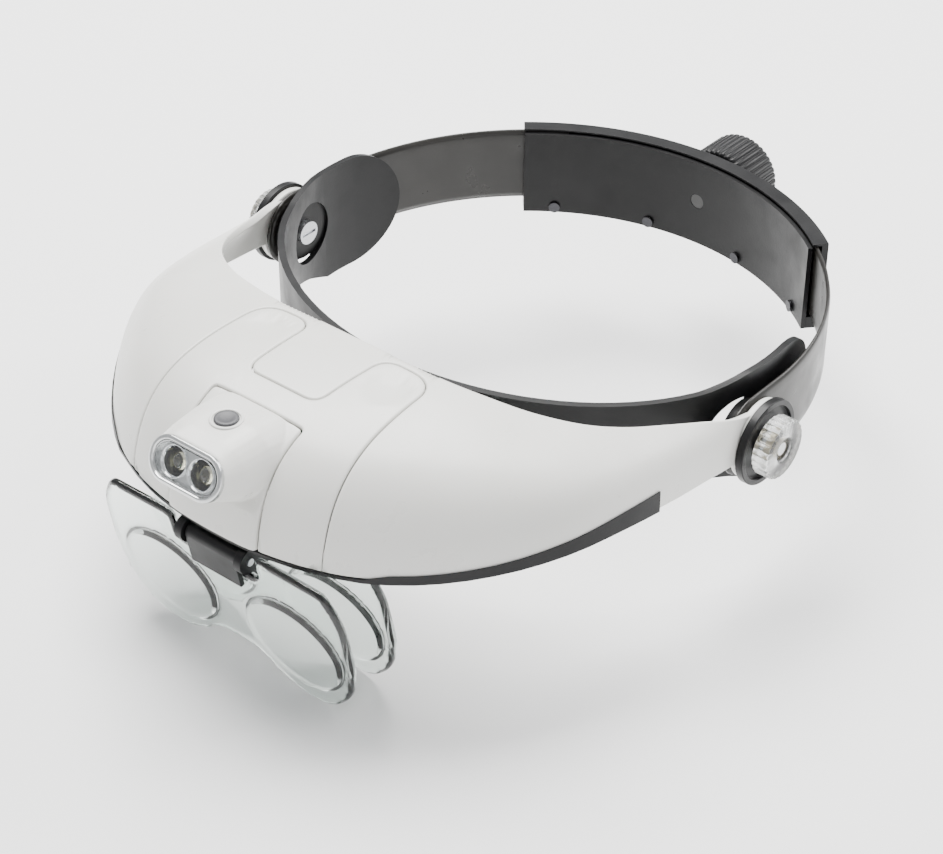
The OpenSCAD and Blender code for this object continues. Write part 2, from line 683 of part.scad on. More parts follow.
module power_button() {
    base = board_z + 1.2 + 2.6 + button_travel + 0.1;
    color("#3f4144") translate([0, button_y, base]) cylinder(h = button_top - base, r = button_r, $fn = 64);
}

module battery_door() {
    half_w = tray_x - 1.2 - 0.15;
    color("#e0ded8") {
        translate([-half_w, tray_front + 0.2, tray_z - door_t - 0.1]) cube([2 * half_w, tray_len, door_t]);
        for (i = [0:3]) translate([-8, tray_front + 5 + 2 * i, tray_z - door_t - 0.6]) cube([16, 0.8, 0.6]);
    }
}

forehead_band();
forehead_pad();
strap_tab(1);  // strap_tab_left
strap_tab(-1);  // strap_tab_right
pivot_bolt(1);  // pivot_bolt_left
pivot_bolt(-1);  // pivot_bolt_right
friction_washer(1);  // friction_washer_left
friction_washer(-1);  // friction_washer_right
strap_left();
strap_right();
rear_cover_outer();
rear_cover_inner();
rear_cover_screws();
rear_knob();
pinion();
rear_knob_screw();
visor_shell();
visor_edge_trim();
ear_cap(1);  // ear_cap_left
ear_cap(-1);  // ear_cap_right
side_knob(1);  // side_knob_left
side_knob(-1);  // side_knob_right
knob_nut(1);  // knob_nut_left
knob_nut(-1);  // knob_nut_right
lens_bracket();
bracket_screws();
hinge_pin(front_hinge);  // front_hinge_pin
hinge_pin(rear_hinge);  // rear_hinge_pin
lens_clip(front_hinge);  // front_lens_clip
lens_plate(front_hinge);  // front_lens_plate
lens_clip(rear_hinge);  // rear_lens_clip
lens_plate(rear_hinge);  // rear_lens_plate
module_panel();
lamp_hood();
battery_tray();
battery_cells();
battery_contacts();
circuit_board();
switch_body();
power_button();
battery_door();
lamp_bezel();
lamp_window();
lamp_reflectors();
leds();
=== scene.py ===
"""Looks for the head visor magnifier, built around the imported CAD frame.
Lengths in the shape functions are millimetres; MM turns them into Blender's metres."""
import json
import math

import bmesh
import bpy
from mathutils import Matrix, Vector
from mathutils.geometry import delaunay_2d_cdt
from mathutils.kdtree import KDTree


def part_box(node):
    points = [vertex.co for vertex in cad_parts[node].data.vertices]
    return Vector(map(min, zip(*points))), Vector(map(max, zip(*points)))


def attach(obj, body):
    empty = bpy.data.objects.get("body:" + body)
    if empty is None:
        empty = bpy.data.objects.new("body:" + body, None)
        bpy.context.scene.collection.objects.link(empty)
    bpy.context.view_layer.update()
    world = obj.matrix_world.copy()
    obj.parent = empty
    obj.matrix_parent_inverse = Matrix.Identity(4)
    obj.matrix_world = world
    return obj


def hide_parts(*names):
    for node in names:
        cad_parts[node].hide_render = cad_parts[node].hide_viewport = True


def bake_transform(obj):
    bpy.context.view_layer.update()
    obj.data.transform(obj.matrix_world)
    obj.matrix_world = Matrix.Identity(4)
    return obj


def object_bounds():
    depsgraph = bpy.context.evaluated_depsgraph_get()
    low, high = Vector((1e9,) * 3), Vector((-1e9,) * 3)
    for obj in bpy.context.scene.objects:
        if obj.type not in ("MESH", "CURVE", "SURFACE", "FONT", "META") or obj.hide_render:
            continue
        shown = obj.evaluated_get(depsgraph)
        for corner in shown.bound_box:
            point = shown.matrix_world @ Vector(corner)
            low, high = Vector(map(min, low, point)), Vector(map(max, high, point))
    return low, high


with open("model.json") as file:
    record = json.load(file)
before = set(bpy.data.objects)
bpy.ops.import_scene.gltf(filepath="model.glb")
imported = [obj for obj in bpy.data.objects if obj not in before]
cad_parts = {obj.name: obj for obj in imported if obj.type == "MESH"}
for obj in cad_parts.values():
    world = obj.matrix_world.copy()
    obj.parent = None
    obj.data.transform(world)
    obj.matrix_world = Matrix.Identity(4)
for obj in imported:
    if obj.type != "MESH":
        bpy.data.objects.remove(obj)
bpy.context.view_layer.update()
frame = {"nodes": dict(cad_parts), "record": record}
MM = 0.001
NODES = frame["nodes"]

# ------------------------------------------------------------------ camera and lights
CAMERA_AT = (398.3, -517.2, 419.8)
CAMERA_FORWARD = (-0.5175, 0.6251, -0.5843)
CAMERA_RIGHT = (0.7684, 0.6400, 0.0040)
CAMERA_LENS = 93.5


def make_camera():
    data = bpy.data.cameras.new("camera")
    camera = bpy.data.objects.new("camera", data)
    bpy.context.collection.objects.link(camera)
    forward = Vector(CAMERA_FORWARD).normalized()
    right = Vector(CAMERA_RIGHT)
    right = (right - forward * right.dot(forward)).normalized()
    up = right.cross(forward)
    turn = Matrix((right, up, -forward)).transposed()
    camera.matrix_world = Matrix.Translation(Vector(CAMERA_AT) * MM) @ turn.to_4x4()
    data.sensor_width = 36
    data.lens = CAMERA_LENS
    data.clip_start = 0.05
    bpy.context.scene.camera = camera


def area_light(name, at, target, size, power, colour=(1, 1, 1)):
    data = bpy.data.lights.new(name, "AREA")
    data.shape = "RECTANGLE"
    data.size, data.size_y = size
    data.energy = power
    data.color = colour
    light = bpy.data.objects.new(name, data)
    bpy.context.collection.objects.link(light)
    light.location = at
    light.rotation_euler = (Vector(target) - Vector(at)).to_track_quat("-Z", "Y").to_euler()


def make_lights():
    middle = (0, -0.03, 0)
    area_light("key", (-0.4, 0.2, 1.15), middle, (1.0, 1.0), 52.0, (1.0, 0.995, 0.98))
    area_light("fill", (1.1, -0.5, 0.35), middle, (1.1, 0.6), 2.0, (0.97, 0.98, 1.0))
    area_light("back", (0.45, 1.1, 0.8), middle, (1.0, 0.6), 18.0)
    world = bpy.data.worlds.new("studio")
    world.use_nodes = True
    world.node_tree.nodes["Background"].inputs["Color"].default_value = (0.97, 0.98, 1.0, 1)
    world.node_tree.nodes["Background"].inputs["Strength"].default_value = 0.8
    bpy.context.scene.world = world


# ------------------------------------------------------------------ materials
def new_material(name, colour, roughness=0.5, **sockets):
    material = bpy.data.materials.new(name)
    material.use_nodes = True
    shader = material.node_tree.nodes["Principled BSDF"]
    shader.inputs["Base Color"].default_value = (*colour, 1)
    shader.inputs["Roughness"].default_value = roughness
    for key, value in sockets.items():
        shader.inputs[key.replace("_", " ")].default_value = value
    return material, shader


def noise(material, scale, detail=4.0, stretch=(1, 1, 1)):
    """A noise texture in object space; scale is in repeats per metre."""
    nodes, links = material.node_tree.nodes, material.node_tree.links
    where = nodes.new("ShaderNodeTexCoord")
    mapping = nodes.new("ShaderNodeMapping")
    mapping.inputs["Scale"].default_value = stretch
    texture = nodes.new("ShaderNodeTexNoise")
    texture.inputs["Scale"].default_value = scale
    texture.inputs["Detail"].default_value = detail
    links.new(where.outputs["Object"], mapping.inputs["Vector"])
    links.new(mapping.outputs["Vector"], texture.inputs["Vector"])
    return texture.outputs["Fac"]


def ramp(material, source, stops):
    """A colour ramp; stops are (place, colour) with colour a grey level or a triple."""
    nodes, links = material.node_tree.nodes, material.node_tree.links
    node = nodes.new("ShaderNodeValToRGB")
    elements = node.color_ramp.elements
    while len(elements) < len(stops):
        elements.new(0.5)
    for element, (place, colour) in zip(elements, stops):
        element.position = place
        colour = (colour,) * 3 if isinstance(colour, (int, float)) else colour
        element.color = (*colour, 1)
    links.new(source, node.inputs["Fac"])
    return node.outputs["Color"]


def bump(material, shader, source, distance, strength=1.0):
    nodes, links = material.node_tree.nodes, material.node_tree.links
    node = nodes.new("ShaderNodeBump")
    node.inputs["Distance"].default_value = distance
    node.inputs["Strength"].default_value = strength
    links.new(source, node.inputs["Height"])
    last = shader.inputs["Normal"].links
    if last:
        links.new(last[0].from_socket, node.inputs["Normal"])
    links.new(node.outputs["Normal"], shader.inputs["Normal"])


def plastic(name, low, high, rough, grain=2600.0, depth=0.00002, wave=18.0, **sockets):
    """Moulded plastic: a slow drift of tone, uneven gloss and a fine grain."""
    material, shader = new_material(name, low, sum(rough) / 2, **sockets)
    links = material.node_tree.links
    tone = ramp(material, noise(material, wave), [(0.3, low), (0.7, high)])
    links.new(tone, shader.inputs["Base Color"])
    gloss = ramp(material, noise(material, wave * 6), [(0.3, rough[0]), (0.7, rough[1])])
    links.new(gloss, shader.inputs["Roughness"])
    bump(material, shader, noise(material, grain, 2), depth, 0.5)
    return material


def metal(name, colour, rough, scratch=(1, 1, 12)):
    material, shader = new_material(name, colour, sum(rough) / 2, Metallic=1.0)
    links = material.node_tree.links
    fine = noise(material, 900, 3, scratch)
    links.new(ramp(material, fine, [(0.3, rough[0]), (0.7, rough[1])]), shader.inputs["Roughness"])
    bump(material, shader, fine, 0.00001, 0.4)
    return material


def clear(name, colour, rough=(0.02, 0.06), ior=1.49, alpha=1.0):
    """Clear acrylic, with faint smears in its gloss."""
    material, shader = new_material(name, colour, 0.03, IOR=ior, Alpha=alpha)
    shader.inputs["Transmission Weight"].default_value = 1.0
    links = material.node_tree.links
    smears = ramp(material, noise(material, 60), [(0.35, rough[0]), (0.7, rough[1])])
    links.new(smears, shader.inputs["Roughness"])
    return material


def foam(name):
    material, shader = new_material(name, (0.02, 0.02, 0.022), 0.9)
    links = material.node_tree.links
    cells = noise(material, 1800, 5)
    links.new(ramp(material, cells, [(0.35, 0.008), (0.65, 0.045)]), shader.inputs["Base Color"])
    bump(material, shader, cells, 0.0004)
    shader.inputs["Sheen Weight"].default_value = 0.25
    return material


def make_materials():
    made = {
        "white_plastic": plastic("white_plastic", (0.66, 0.655, 0.62), (0.72, 0.715, 0.685), (0.26, 0.36)),
        "inner_plastic": plastic("inner_plastic", (0.55, 0.54, 0.5), (0.62, 0.61, 0.57), (0.4, 0.55)),
        "black_plastic": plastic("black_plastic", (0.003, 0.003, 0.0035), (0.007, 0.007, 0.0075), (0.3, 0.45),
                                 1500, 0.00004, Specular_IOR_Level=0.25),
        "strap_plastic": plastic("strap_plastic", (0.01, 0.0092, 0.008), (0.018, 0.0165, 0.0145),
                                 (0.26, 0.4), 1500, 0.00003, Specular_IOR_Level=0.4),
        "button_plastic": plastic("button_plastic", (0.035, 0.035, 0.04), (0.06, 0.06, 0.065), (0.4, 0.55),
                                  1800, 0.00005),
        "washer_plastic": plastic("washer_plastic", (0.02, 0.02, 0.02), (0.035, 0.035, 0.035), (0.35, 0.5)),
        "foam": foam("foam"),
        "bolt_steel": metal("bolt_steel", (0.55, 0.56, 0.58), (0.22, 0.4)),
        "screw_steel": metal("screw_steel", (0.06, 0.06, 0.065), (0.3, 0.45)),
        "nut_metal": metal("nut_metal", (0.42, 0.38, 0.29), (0.25, 0.4)),
        "contact_brass": metal("contact_brass", (0.66, 0.58, 0.4), (0.2, 0.35)),
        "bezel_chrome": metal("bezel_chrome", (0.62, 0.63, 0.63), (0.16, 0.3)),
        "reflector_mirror": metal("reflector_mirror", (0.8, 0.81, 0.82), (0.05, 0.14), (1, 1, 1)),
        "lens_acrylic": clear("lens_acrylic", (0.90, 0.965, 0.935)),
        "clear_knob": clear("clear_knob", (0.94, 0.95, 0.94), (0.22, 0.36)),
        "window_clear": clear("window_clear", (0.97, 0.98, 0.98), (0.01, 0.03)),
        "led_epoxy": clear("led_epoxy", (0.97, 0.94, 0.72), (0.05, 0.12), 1.52),
        "cell_wrap": plastic("cell_wrap", (0.02, 0.09, 0.035), (0.035, 0.13, 0.05), (0.25, 0.35)),
        "board": plastic("board", (0.01, 0.09, 0.035), (0.02, 0.14, 0.055), (0.3, 0.45), 900, 0.00004, 120),
    }
    return made


# ------------------------------------------------------------------ mesh helpers
def add_piece(name, points, faces, slot, body, replaces=(), smooth=True):
    """Makes a mesh object from millimetre points, on a body and in a material slot."""
    mesh = bpy.data.meshes.new(name)
    mesh.from_pydata([Vector(p) * MM for p in points], [], faces)
    return finish_piece(name, mesh, slot, body, replaces, smooth)


def finish_piece(name, mesh, slot, body, replaces=(), smooth=True):
    piece = bpy.data.objects.new(name, mesh)
    bpy.context.collection.objects.link(piece)
    edit = bmesh.new()
    edit.from_mesh(mesh)
    bmesh.ops.remove_doubles(edit, verts=edit.verts, dist=1e-7)
    bmesh.ops.recalc_face_normals(edit, faces=edit.faces)
    edit.to_mesh(mesh)
    edit.free()
    mesh.polygons.foreach_set("use_smooth", [smooth] * len(mesh.polygons))
    mesh.materials.clear()
    mesh.materials.append(MATERIALS[slot])
    if body:
        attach(piece, body)
    if replaces:
        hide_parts(*replaces)
    return piece


def join_meshes(name, parts):
    """One mesh from a list of (points, faces)."""
    points, faces = [], []
    for more_points, more_faces in parts:
        base = len(points)
        points += [Vector(p) * MM for p in more_points]
        faces += [[base + i for i in face] for face in more_faces]
    mesh = bpy.data.meshes.new(name)
    mesh.from_pydata(points, [], faces)
    return mesh


def lathe(profile, steps=72, radius_of=None, closed=True):
    """Turns a profile of (radius, height) round Z. radius_of(radius, height, angle) may shape it."""
    points, faces = [], []
    n = len(profile)
    for i in range(steps):
        a = 2 * math.pi * i / steps
        for r, z in profile:
            rr = radius_of(r, z, a) if radius_of else r
            points.append((rr * math.cos(a), rr * math.sin(a), z))
    for i in range(steps):
        for j in range(n if closed else n - 1):
            a, b = i * n + j, i * n + (j + 1) % n
            c, d = ((i + 1) % steps) * n + (j + 1) % n, ((i + 1) % steps) * n + j
            faces.append((a, b, c, d))
    return points, faces


def placed(shape, matrix):
    points, faces = shape
    return [matrix @ Vector(p) for p in points], faces


def side_axes(side, x, y, z):
    """At a place on the tilt axis, with local Z pointing outwards."""
    return Matrix.Translation((side * x, y, z)) @ Matrix.Rotation(side * math.pi / 2, 4, "Y")


def rounded_profile(points, r, steps=4):
    """Rounds every corner of a closed 2-D outline by radius r, or a list with one radius a corner."""
    made = []
    n = len(points)
    for i in range(n):
        before, here, after = (Vector(points[(i + k) % n]) for k in (-1, 0, 1))
        a, b = (before - here), (after - here)
        radius = r[i] if isinstance(r, (list, tuple)) else r
        half = a.angle(b) / 2 if a.length > 1e-9 and b.length > 1e-9 else math.pi / 2
        cut = min(radius / max(math.tan(half), 1e-6), a.length * 0.49, b.length * 0.49)
        if radius <= 0 or cut < 1e-4 or half > math.pi / 2 - 0.01:
            made.append(tuple(here))
            continue
        start, end = here + a.normalized() * cut, here + b.normalized() * cut
        for k in range(steps + 1):
            t = k / steps
            made.append(tuple(start * (1 - t) ** 2 + here * 2 * t * (1 - t) + end * t * t))
    return made


def resampled(points, step):
    """Points a step apart along a closed outline."""
    made = []
    n = len(points)
    for i in range(n):
        a, b = Vector(points[i]), Vector(points[(i + 1) % n])
        count = max(1, round((b - a).length / step))
        made += [tuple(a.lerp(b, k / count)) for k in range(count)]
    return made


def softened(node, width, slot, body, angle=30, segments=3):
    """A copy of a CAD node with its hard edges rounded."""
    mesh = NODES[node].data.copy()
    edit = bmesh.new()
    edit.from_mesh(mesh)
    bmesh.ops.remove_doubles(edit, verts=edit.verts, dist=2e-6)
    bmesh.ops.dissolve_limit(edit, angle_limit=0.01, verts=edit.verts, edges=edit.edges)
    edit.to_mesh(mesh)
    edit.free()
    piece = finish_piece(node + "_form", mesh, slot, body, (node,))
    bevel = piece.modifiers.new("bevel", "BEVEL")
    bevel.width = width * MM
    bevel.segments = segments
    bevel.limit_method = "ANGLE"
    bevel.angle_limit = math.radians(angle)
    bevel.use_clamp_overlap = True
    bevel.harden_normals = False
    weighted = piece.modifiers.new("normals", "WEIGHTED_NORMAL")
    weighted.keep_sharp = True
    return piece


# ------------------------------------------------------------------ the visor's surface
REAR_EDGE = [(0, -88, 30.5), (16, -88, 30.5), (31, -87.5, 30), (45, -84.5, 28.5), (58, -79.5, 26),
             (70, -72, 23.5), (78, -62.5, 21), (83.5, -51, 18), (88, -40, 15),
             (92.5, -30, 12.5), (95, -22, 11)]
CREASE = [(0, -146, 34), (20, -144, 33.5), (39, -137, 31.5), (58, -126, 28), (74, -111, 24),
          (85, -94, 20.5), (90, -76, 16), (92.5, -59, 12.5), (94, -44, 10), (95, -32, 8), (95, -22, 5)]
FRONT_EDGE = [(0, -150, -2), (21, -148.5, -2), (41, -142.5, -2), (59, -131, -2), (74, -115.5, -1),
              (85, -98, 1), (91, -79, 2), (93.5, -60, 0.8), (94.5, -44, -0.6), (95, -32, -2), (95, -22, -4)]
LAST_U = 10
VISOR_T = 2.4
PANEL_T = 1.8
SEAT_TOP = 2.0
SEAT_T = 2.2
PIVOT_Y = -18.5
EAR_R = 12.5
ARM_X = 92.6


def station(stations, i):
    if i < 0:
        x, y, z = stations[-i]
        return Vector((-x, y, z))
    return Vector(stations[min(i, LAST_U)])


def along(stations, u):
    i = min(int(math.floor(u)), LAST_U - 1)
    a, b, c, d = (station(stations, i + k) for k in (-1, 0, 1, 2))
    t = u - i
    square, cube = 2 * a - 5 * b + 4 * c - d, 3 * b - a - 3 * c + d
    return 0.5 * (2 * b + (c - a) * t + square * t * t + cube * t ** 3)


def skin(u, v):
    """A point of the visor's outer surface: u from arm to arm, v from the rear edge to the front."""
    top, knee, low = (along(s, abs(u)) for s in (REAR_EDGE, CREASE, FRONT_EDGE))
    k1 = knee + 0.32 * (top - knee)
    k2 = knee + 0.1 * (low - knee)
    w = 1 - v
    p = w ** 3 * top + 3 * w * w * v * k1 + 3 * w * v * v * k2 + v ** 3 * low
    if u < 0:
        p.x = -p.x
    return p


def skin_normal(u, v):
    d = 0.02
    u0, u1, v0, v1 = max(u - d, -LAST_U), min(u + d, LAST_U), max(v - d, 0), min(v + d, 1)
    return (skin(u, v1) - skin(u, v0)).cross(skin(u1, v) - skin(u0, v)).normalized()


def skin_at(x, y):
    """The (u, v) of the outer surface above a plan position near the visor's middle."""
    u, v = x / 20.0, 0.5
    for _ in range(9):
        low, high = 0.0, 1.3
        for _ in range(26):
            v = (low + high) / 2
            if skin(u, v).y > y:
                low = v
            else:
                high = v
        low, high = -4.0, 4.0
        for _ in range(26):
            u = (low + high) / 2
            if skin(u, min(v, 1.2)).x < x:
                low = u
            else:
                high = u
    return u, v


# ------------------------------------------------------------------ seams of the clip-on module
PANEL_CORNERS = [(-37.5, -166), (-36.8, -146), (-34.5, -120), (-32.5, -91), (-14, -91), (-13.4, -119.5),
                 (13.4, -119.5), (14, -91), (32.5, -91), (34.5, -120), (36.8, -146), (37.5, -166)]
PANEL_RADII = [0, 20, 25, 9, 6.5, 5, 5, 6.5, 9, 25, 20, 0]
HOOD_HALF_W = 17.0
HOOD_REAR_Y = -128.6
SEAM = 0.2


def offset_outline(points, distance):
    """A closed outline moved to the left of its direction, outwards where it runs clockwise."""
    made = []
    n = len(points)
    for i in range(n):
        a, b = Vector(points[i - 1]), Vector(points[(i + 1) % n])
        t = (b - a).normalized()
        made.append((points[i][0] - t.y * distance, points[i][1] + t.x * distance))
    return made


def inside(point, outline):
    x, y = point
    hit = False
    for i in range(len(outline)):
        (x0, y0), (x1, y1) = outline[i - 1], outline[i]
        if (y0 > y) != (y1 > y) and x < (x1 - x0) * (y - y0) / (y1 - y0) + x0:
            hit = not hit
    return hit


def rim_drop(distance, radius):
    """How far a rounded rim falls at a distance in from its edge."""
    if distance >= radius:
        return 0.0
    return radius - math.sqrt(max(radius * radius - (radius - distance) ** 2, 0))


class VisorSkin:
    """The visor's surface cut along the module's seams, as one triangulation in (u, v)."""

    def __init__(self):
        panel = resampled(rounded_profile(PANEL_CORNERS, PANEL_RADII, 8), 0.9)
        hood_corners = [(-HOOD_HALF_W, -166), (-HOOD_HALF_W, HOOD_REAR_Y), (HOOD_HALF_W, HOOD_REAR_Y),
                        (HOOD_HALF_W, -166)]
        hood = resampled(rounded_profile(hood_corners, [0, 1.5, 1.5, 0], 5), 0.9)
        offsets = [0] + [way * (SEAM + step) for step in (0, 0.18, 0.45, 1) for way in (1, -1)]
        self.loops = {}
        for name, outline in (("panel", panel), ("hood", hood)):
            for offset in offsets:
                run = [p for p in offset_outline(outline, offset) if p[1] > -152.5]
                self.loops[name, offset] = self.in_uv(run)
        self.panel_uv = self.closed_past_front(self.loops["panel", 0])
        self.hood_uv = self.closed_past_front(self.loops["hood", 0])
        self.seams = KDTree(20000)
        count = 0
        for name in ("panel", "hood"):
            run = self.loops[name, 0]
            for (u0, v0), (u1, v1) in zip(run, run[1:]):
                for k in range(6):
                    t = k / 6
                    u, v = u0 + (u1 - u0) * t, v0 + (v1 - v0) * t
                    self.seams.insert(skin(u, v), count)
                    count += 1
        self.seams.balance()
        self.triangulate()

    @staticmethod
    def closed_past_front(run):
        """A seam closed far in front of the front edge, so it can be tested as an outline."""
        return run + [(run[-1][0], 3), (run[0][0], 3)]

    @staticmethod
    def in_uv(run):
        """A run of plan points in (u, v), cut off where it passes the front edge."""
        made = []
        for p in run:
            u, v = skin_at(*p)
            if v <= 1.0:
                made.append((u, v))
        first, last = made[0], made[-1]
        if first[1] < 0.999:
            made.insert(0, (first[0] + (first[0] - made[1][0]) * 0.3, 1.0))
        if last[1] < 0.999:
            made.append((last[0] + (last[0] - made[-2][0]) * 0.3, 1.0))
        return made

    def triangulate(self):
        rows = [0.012 + 0.976 * k / 56 for k in range(1, 56)]
        rows = [0, 0.002, 0.006, 0.012] + rows + [0.988, 0.994, 0.998, 1]
        columns = [-LAST_U + 2 * LAST_U * k / 190 for k in range(191)]
        points, edges = [], []
        near = KDTree(8000)
        number = 0
        for run in self.loops.values():
            base = len(points)
            points += [Vector(p) for p in run]
            edges += [(base + i, base + i + 1) for i in range(len(run) - 1)]
            for p in run:
                near.insert((p[0] * 14, p[1] * 75, 0), number)
                number += 1
        near.balance()
        for u in columns:
            for v in rows:
                if near.find((u * 14, v * 75, 0))[2] > 0.75:
                    points.append(Vector((u, v)))
        corners = [(-LAST_U, 0), (LAST_U, 0), (LAST_U, 1), (-LAST_U, 1)]
        base = len(points)
        points += [Vector(p) for p in corners]
        edges += [(base + i, base + (i + 1) % 4) for i in range(4)]
        made = delaunay_2d_cdt(points, edges, [], 0, 1e-7)
        self.uv = [(min(max(p.x, -LAST_U), LAST_U), min(max(p.y, 0), 1)) for p in made[0]]
        self.faces = made[2]
        self.at = [skin(u, v) for u, v in self.uv]
        self.normals = [skin_normal(u, v) for u, v in self.uv]
        self.seam_distance = [self.seams.find(p)[2] for p in self.at]

    def region(self, wanted):
        """Faces of one region: shell, panel or hood, without the narrow seams."""
        kept = []
        for face in self.faces:
            u = sum(self.uv[i][0] for i in face) / 3
            v = sum(self.uv[i][1] for i in face) / 3
            (u0, v0), (u1, v1), (u2, v2) = (self.uv[i] for i in face[:3])
            area = abs((u1 - u0) * (v2 - v0) - (u2 - u0) * (v1 - v0))
            if area < 1e-10 or u < -LAST_U or u > LAST_U:
                continue
            if min(self.seam_distance[i] for i in face) < SEAM * 0.6:
                continue
            kind = "shell"
            if inside((u, v), self.panel_uv):
                kind = "hood" if inside((u, v), self.hood_uv) else "panel"
            if kind == wanted:
                kept.append(face)
        return kept

    def solid(self, wanted, thickness, rim, relief=None, lift=None):
        """A closed sheet of one region with rounded rims. relief(x, y) sinks and lift(p) raises the top."""
        faces = self.region(wanted)
        used = sorted({i for face in faces for i in face})
        index = {i: k for k, i in enumerate(used)}
        top, bottom = [], []
        for i in used:
            u, v = self.uv[i]
            p, n = self.at[i], self.normals[i]
            edge = min(self.seam_distance[i] - SEAM, (p - skin(u, 0)).length, (p - skin(u, 1)).length)
            drop = rim_drop(max(edge, 0), rim)
            if relief:
                drop += relief(p.x, p.y)
            raised = lift(p) if lift else 0
            top.append(p + n * (raised - drop))
            bottom.append(p + n * (min(rim_drop(max(edge, 0), rim * 0.7), thickness * 0.3) - thickness))
        count = len(used)
        made = [[index[i] for i in face] for face in faces]
        edges = {}
        for face in made:
            for a, b in zip(face, face[1:] + face[:1]):
                edges[a, b] = True
        walls = [(a, a + count, b + count, b) for a, b in edges if (b, a) not in edges]
        lower = [[count + i for i in reversed(face)] for face in made]
        return top + bottom, made + lower + [list(w) for w in walls]


# ------------------------------------------------------------------ visor pieces
def seat_shape():
    """The ledge under the module, open in the middle for the battery tray."""
    columns = [-2.6 + 5.2 * k / 60 for k in range(61)]
    rows = [0.03 + 0.95 * k / 48 for k in range(49)]
    top, bottom = [], []
    for u in columns:
        for v in rows:
            p, n = skin(u, v), skin_normal(u, v)
            top.append(p - n * SEAT_TOP)
            bottom.append(p - n * (SEAT_TOP + SEAT_T))
    m = len(rows)

    def open_here(i, j):
        p = top[i * m + j]
        q = top[(i + 1) * m + j + 1]
        x, y, z = ((p + q) / 2)
        return abs(x) < 26.1 and y < -110 and z > 6.6

    faces = []
    count = len(top)
    for i in range(len(columns) - 1):
        for j in range(m - 1):
            if not open_here(i, j):
                a = i * m + j
                faces.append([a, a + 1, a + m + 1, a + m])
    edges = {}
    for face in faces:
        for a, b in zip(face, face[1:] + face[:1]):
            edges[a, b] = True
    walls = [[a, a + count, b + count, b] for a, b in edges if (b, a) not in edges]
    return top + bottom, faces + [[count + i for i in reversed(f)] for f in faces] + walls


def make_visor(visor):
    ears = []
    rim = 0.5
    for side in (-1, 1):
        profile = [(2.05, 0), (EAR_R - rim, 0), (EAR_R - 0.1, 0.15), (EAR_R, rim), (EAR_R, 2.4 - rim),
                   (EAR_R - 0.15, 2.25), (EAR_R - rim, 2.4), (2.05, 2.4)]
        ears.append(placed(lathe(profile, 96), side_axes(side, ARM_X, PIVOT_Y, 0)))
    boss = [(x, y, z) for z in (-1.9, 5.7) for y in (-146.4, -144) for x in (-12, 12)]
    boss_faces = [(0, 1, 3, 2), (4, 6, 7, 5), (0, 4, 5, 1), (2, 3, 7, 6), (0, 2, 6, 4), (1, 5, 7, 3)]
    parts = [visor.solid("shell", VISOR_T, 0.5), seat_shape(), (boss, boss_faces)] + ears
    mesh = join_meshes("visor_form", parts)
    finish_piece("visor_form", mesh, "white_plastic", "visor", ("visor_shell",))


def thumb_recess(x, y):
    """Finger dents in the module's two ears, steepest at the rear."""
    dx, dy = (abs(x) - 23.6) / 7.6, (y + 100.2) / 6.2
    if dy < 0:
        dy *= 0.62
    q = dx * dx + dy * dy
    return 1.15 * (1 - q) ** 0.8 * (1 + 0.45 * dy) if q < 1 else 0.0


def make_module(visor):
    panel = visor.solid("panel", PANEL_T, 0.5, relief=thumb_recess)
    mesh = join_meshes("module_panel_form", [panel])
    finish_piece("module_panel_form", mesh, "white_plastic", "lamp_module", ("module_panel",))


# ------------------------------------------------------------------ lamp
LAMP_AT = Vector((0, -156.9, 22.8))
LAMP_RAKE = 27
LAMP_HALF_W = 13.5
LAMP_R = 6.9
BUTTON_Y = -141.0


def lamp_axes():
    return Matrix.Translation(LAMP_AT) @ Matrix.Rotation(math.radians(90 - LAMP_RAKE), 4, "X")


def stadium(half_w, r, z, steps=14):
    """A slot outline with two round ends at height z."""
    points = []
    for side in (1, -1):
        for k in range(steps + 1):
            a = -math.pi / 2 + math.pi * k / steps if side == 1 else math.pi / 2 + math.pi * k / steps
            points.append((side * (half_w - r) + r * math.cos(a), r * math.sin(a), z))
    return points


def hull_mesh(name, points):
    mesh = bpy.data.meshes.new(name)
    edit = bmesh.new()
    for p in points:
        edit.verts.new(Vector(p) * MM)
    bmesh.ops.convex_hull(edit, input=edit.verts)
    edit.to_mesh(mesh)
    edit.free()
    return mesh


def hood_hull(shrink):
    """Ring points of the hood's rounded body, drawn smaller by shrink for its hollow."""
    axes = lamp_axes()
    rings = [[axes @ Vector(p) for p in stadium(LAMP_HALF_W - shrink, LAMP_R - shrink, (2 if shrink else 0))]]
    for y, z, half_w, r in ((-149, 20.6, 15.6, 9.6), (-139.5, 20.4, 16.6, 10.2),
                            (HOOD_REAR_Y - 0.3 - shrink, 19.6, 16.8, 9.6)):
        turn = Matrix.Translation((0, y, z)) @ Matrix.Rotation(math.pi / 2, 4, "X")
        rings.append([turn @ Vector(p) for p in stadium(half_w - shrink, r - shrink, 0)])
    return [p for ring in rings for p in ring]


def boolean(piece, cutter_mesh, operation):
    cutter = bpy.data.objects.new("cutter", cutter_mesh)
    bpy.context.collection.objects.link(cutter)
    modifier = piece.modifiers.new("cut", "BOOLEAN")
    modifier.operation = operation
    modifier.object = cutter
    modifier.solver = "EXACT"
    apply_modifiers(piece)
    bpy.data.objects.remove(cutter)


def apply_modifiers(piece):
    graph = bpy.context.evaluated_depsgraph_get()
    done = bpy.data.meshes.new_from_object(piece.evaluated_get(graph))
    piece.modifiers.clear()
    piece.data = done


